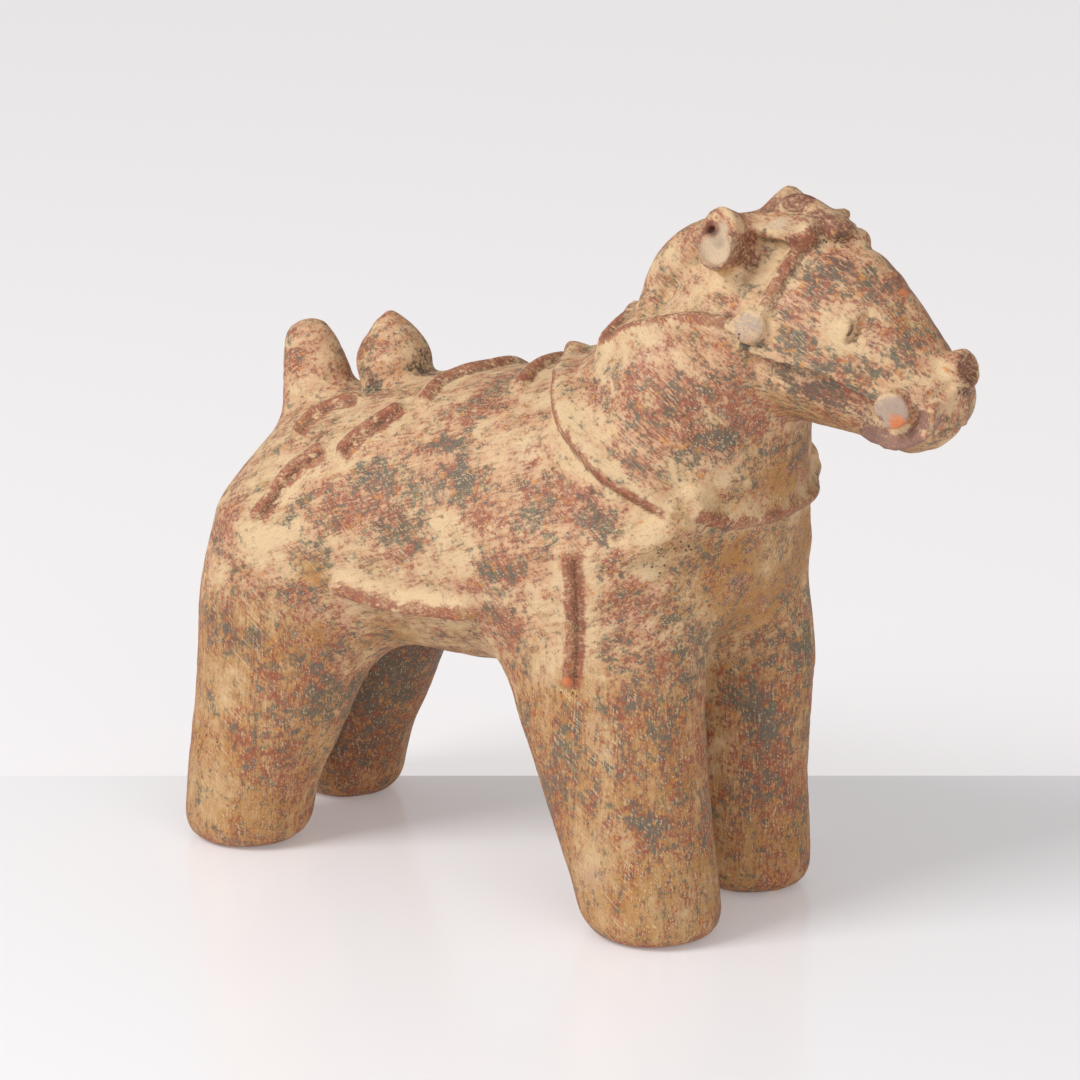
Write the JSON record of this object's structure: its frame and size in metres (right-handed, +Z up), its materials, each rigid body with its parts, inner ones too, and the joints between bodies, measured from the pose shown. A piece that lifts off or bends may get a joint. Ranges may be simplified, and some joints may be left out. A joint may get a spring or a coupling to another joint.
{
  "type": "haniwa style terracotta horse",
  "caption": "Hand-built terracotta horse in haniwa manner, on plain post legs, with luted harness straps, discs, a saddle finial and worn slip.",
  "frame": {"origin": "bottom centre of the bounding box, on the plane the four feet stand on", "axes": "+X towards the nose, +Y towards the horse's left flank, +Z up"},
  "size_m": [0.4298, 0.1618, 0.367],
  "materials": {
    "slipped_terracotta": "matt, worn cream, red-brown and grey-green slip over tan fired clay"
  },
  "bodies": {
    "root": {"horse": "slipped_terracotta"}
  },
  "joints": []
}
